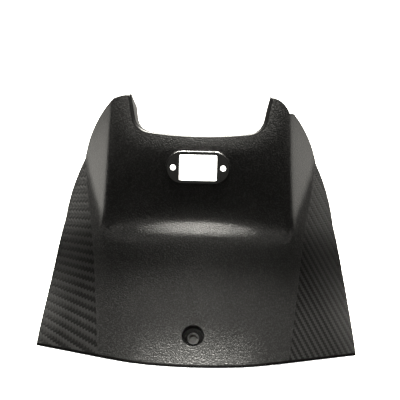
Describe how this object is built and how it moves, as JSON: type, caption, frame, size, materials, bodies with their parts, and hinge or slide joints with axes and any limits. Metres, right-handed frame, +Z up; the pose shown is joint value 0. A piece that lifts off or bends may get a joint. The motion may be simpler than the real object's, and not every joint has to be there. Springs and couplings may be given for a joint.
{
  "type": "charging port cover",
  "caption": "Moulded front panel with a notched top, a slot-shaped pad round a charging window, a rounded shelf, flared apron and side wings, and a recessed fixing hole.",
  "frame": {"origin": "middle of the charging window and its two screw holes, on the pad's front face", "axes": "+X to the viewer's right, +Y back into the vehicle, +Z up; the pad faces -Y"},
  "size_m": [0.266, 0.0814, 0.2104],
  "materials": {
    "cover_plastic": "stippled black with smooth side facets and twill-textured wings"
  },
  "bodies": {
    "root": {"port_cover": "cover_plastic"}
  },
  "joints": []
}
